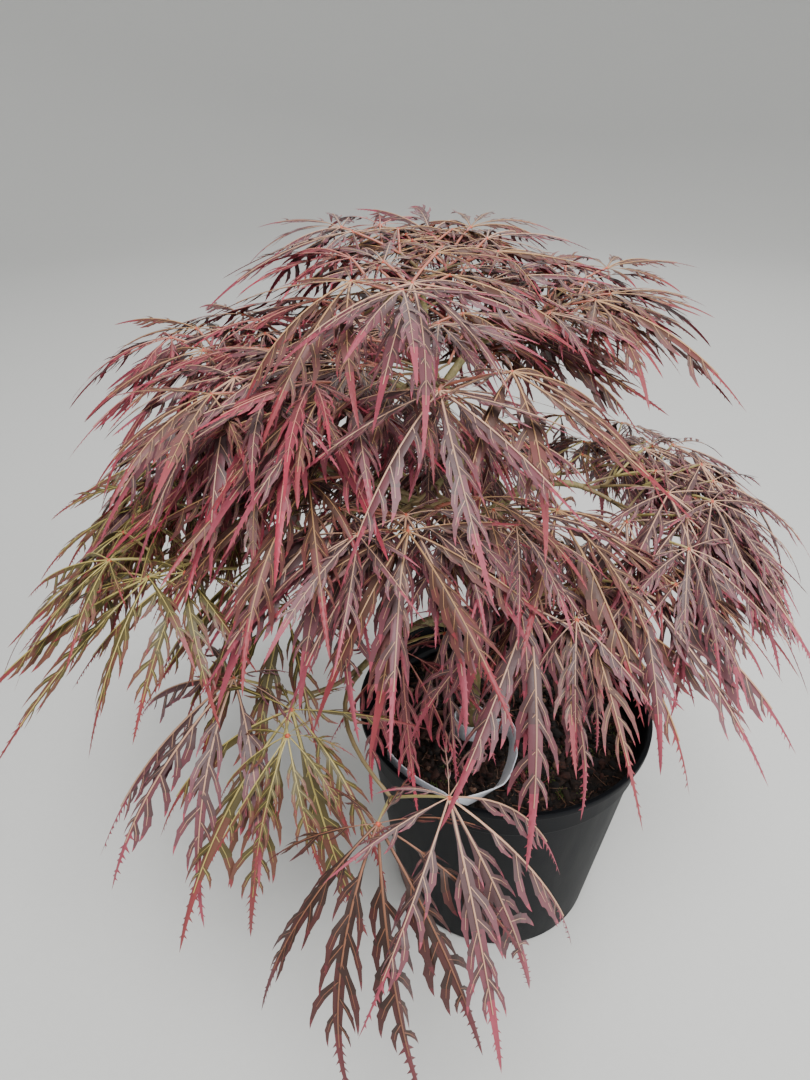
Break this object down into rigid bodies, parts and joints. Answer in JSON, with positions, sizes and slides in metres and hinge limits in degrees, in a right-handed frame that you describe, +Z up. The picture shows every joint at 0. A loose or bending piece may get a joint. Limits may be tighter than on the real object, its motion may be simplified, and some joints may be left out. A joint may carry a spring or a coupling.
{
  "type": "potted laceleaf maple",
  "caption": "Small weeping laceleaf maple with deeply cut purple-red leaves, growing in a round black nursery pot with a blank white plant label.",
  "frame": {"origin": "centre of the pot's flat underside", "axes": "+Z up through the pot's axis, -Y towards the front, where the label lies and the lowest leaves hang, +X to the right of that view"},
  "size_m": [0.4259, 0.4331, 0.4482],
  "materials": {
    "pot_plastic": "moulded black polypropylene, satin",
    "compost": "moist potting mix of composted bark",
    "label_plastic": "blank white plastic strip",
    "bark": "young smooth green-brown bark",
    "leaves": "purple-bronze leaves with pink-red tips, matt"
  },
  "bodies": {
    "root": {"pot": "pot_plastic", "potting_mix": "compost", "plant_label": "label_plastic", "trunk": "bark", "bough_top_rear": "bark", "bough_top_right": "bark", "bough_top_left": "bark", "bough_top_front": "bark", "bough_rear_upper": "bark", "bough_front": "bark", "bough_right": "bark", "bough_left": "bark", "bough_rear_left": "bark", "bough_rear_right": "bark", "bough_front_right": "bark", "bough_rear": "bark", "bough_front_low": "bark", "bough_centre_low": "bark", "foliage_centre_low": "leaves", "foliage_front_hanging": "leaves", "foliage_left_hanging": "leaves", "foliage_front_middle": "leaves", "foliage_front_upper": "leaves", "foliage_right_front": "leaves", "foliage_front_right": "leaves", "foliage_left_low": "leaves", "foliage_left_inner": "leaves", "foliage_front_middle_right": "leaves", "foliage_left_shoulder": "leaves", "foliage_upper_left": "leaves", "foliage_top_right": "leaves", "foliage_top_centre": "leaves", "foliage_crown_top": "leaves", "foliage_top_left": "leaves", "foliage_leader": "leaves", "foliage_right_rear": "leaves", "foliage_rear_upper_left": "leaves", "foliage_rear_upper_right": "leaves", "foliage_rear_left": "leaves", "foliage_left_rear": "leaves", "foliage_rear_right": "leaves", "foliage_rear_low_left": "leaves", "foliage_rear_low_right": "leaves"}
  },
  "joints": []
}
